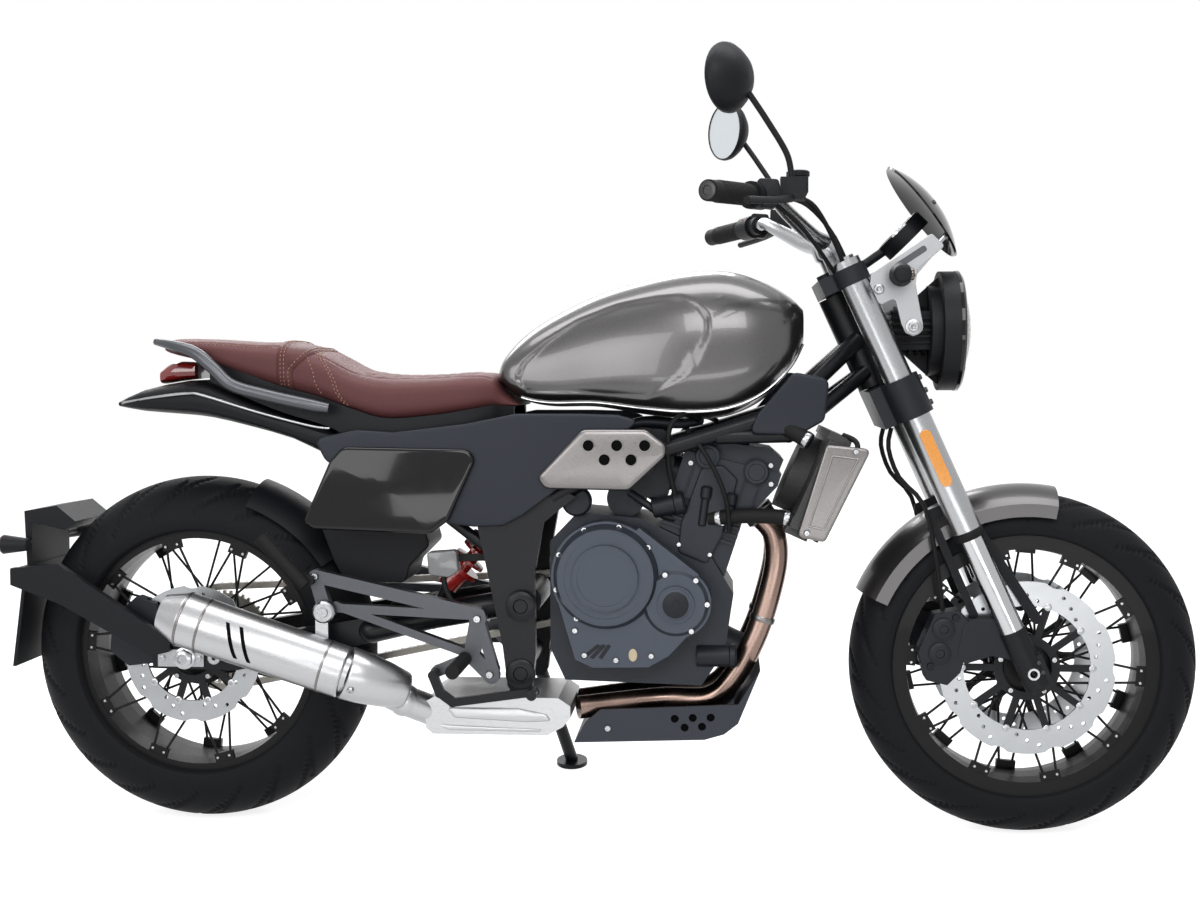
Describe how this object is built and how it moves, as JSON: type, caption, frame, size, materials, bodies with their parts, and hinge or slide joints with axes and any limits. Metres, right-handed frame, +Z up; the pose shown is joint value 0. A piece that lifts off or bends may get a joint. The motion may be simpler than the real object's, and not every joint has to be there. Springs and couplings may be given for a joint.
{
  "type": "roadster motorcycle",
  "caption": "Parallel-twin roadster motorcycle with wire wheels, stepped leather seat, round headlamp and low silencer, parked on its side stand.",
  "frame": {"origin": "floor level under the middle of the bounding box, as parked on the side stand", "axes": "+X forward, +Y to the rider's left, +Z up; the machine leans 9 degrees to the left about X"},
  "size_m": [2.0965, 0.8376, 1.3638],
  "materials": {
    "black_frame": "satin",
    "tank_paint": "metallic lacquer",
    "seat_leather": "semi-matt",
    "grey_plastic": "satin",
    "black_plastic": "matt",
    "gloss_black": "gloss",
    "engine_black": "satin paint",
    "engine_grey": "satin paint",
    "alloy": "satin",
    "hanger_grey": "cast",
    "steel": "brushed",
    "header_steel": "heat tinted",
    "chrome": "polished",
    "red_lens": "gloss",
    "spring_red": "gloss",
    "tyre": "matt",
    "rubber": "matt",
    "rim_black": "satin paint",
    "lens": "clear"
  },
  "bodies": {
    "chassis": {"main_frame": "black_frame", "airbox": "black_plastic", "crankcase": "engine_black", "engine_covers": "engine_grey", "cylinder_head": "engine_black", "radiator": "engine_black", "cover_plates": "steel", "exhaust_headers": "header_steel", "silencer": "steel", "fuel_tank": "tank_paint", "seat": "seat_leather", "grab_rails": "alloy", "tail_cowl": "black_plastic", "tail_lamp": "red_lens", "side_panels": "grey_plastic", "number_panels": "gloss_black", "swingarm": "black_frame", "stand_bobbins": "steel", "rear_axle": "steel", "shock_absorber": "spring_red", "plate_bracket": "black_plastic", "rear_caliper": "engine_grey", "footpeg_hangers": "hanger_grey", "footpegs": "rubber", "foot_levers": "black_frame", "skid_plate": "grey_plastic", "chain": "steel"},
    "steering": {"yokes": "engine_black", "fork_tubes": "alloy", "fork_sliders": "chrome", "front_axle": "steel", "front_calipers": "engine_black", "front_fender": "tank_paint", "fender_stays": "black_plastic", "handlebar": "alloy", "grips": "rubber", "controls": "black_plastic", "mirrors": "black_plastic", "headlamp": "black_plastic", "headlamp_lens": "lens", "lamp_bracket": "alloy", "flyscreen": "gloss_black", "instrument": "black_plastic", "brake_hoses": "rubber"},
    "front_wheel": {"front_tyre": "tyre", "front_rim": "rim_black", "front_discs": "steel"},
    "rear_wheel": {"rear_tyre": "tyre", "rear_rim": "rim_black", "rear_disc": "steel", "rear_sprocket": "steel"},
    "side_stand": {"side_stand": "black_frame"}
  },
  "joints": [
    {"name": "steering", "type": "hinge", "parent": "chassis", "child": "steering", "pos_m": [0.47339, -0.03789, 0.82401], "axis": [-0.4147, 0.1423, 0.8988], "range_deg": [-32, 32]},
    {"name": "front_wheel_spin", "type": "hinge", "parent": "steering", "child": "front_wheel", "pos_m": [0.7495, -0.12135, 0.29705], "axis": [0, 0.9877, -0.1564], "continuous": true},
    {"name": "rear_wheel_spin", "type": "hinge", "parent": "chassis", "child": "rear_wheel", "pos_m": [-0.7155, -0.11944, 0.30914], "axis": [0, 0.9877, -0.1564], "continuous": true},
    {"name": "side_stand_fold", "type": "hinge", "parent": "chassis", "child": "side_stand", "pos_m": [-0.1255, 0.02453, 0.2337], "axis": [0, 0.9848, 0.1736], "range_deg": [0, 95]}
  ]
}
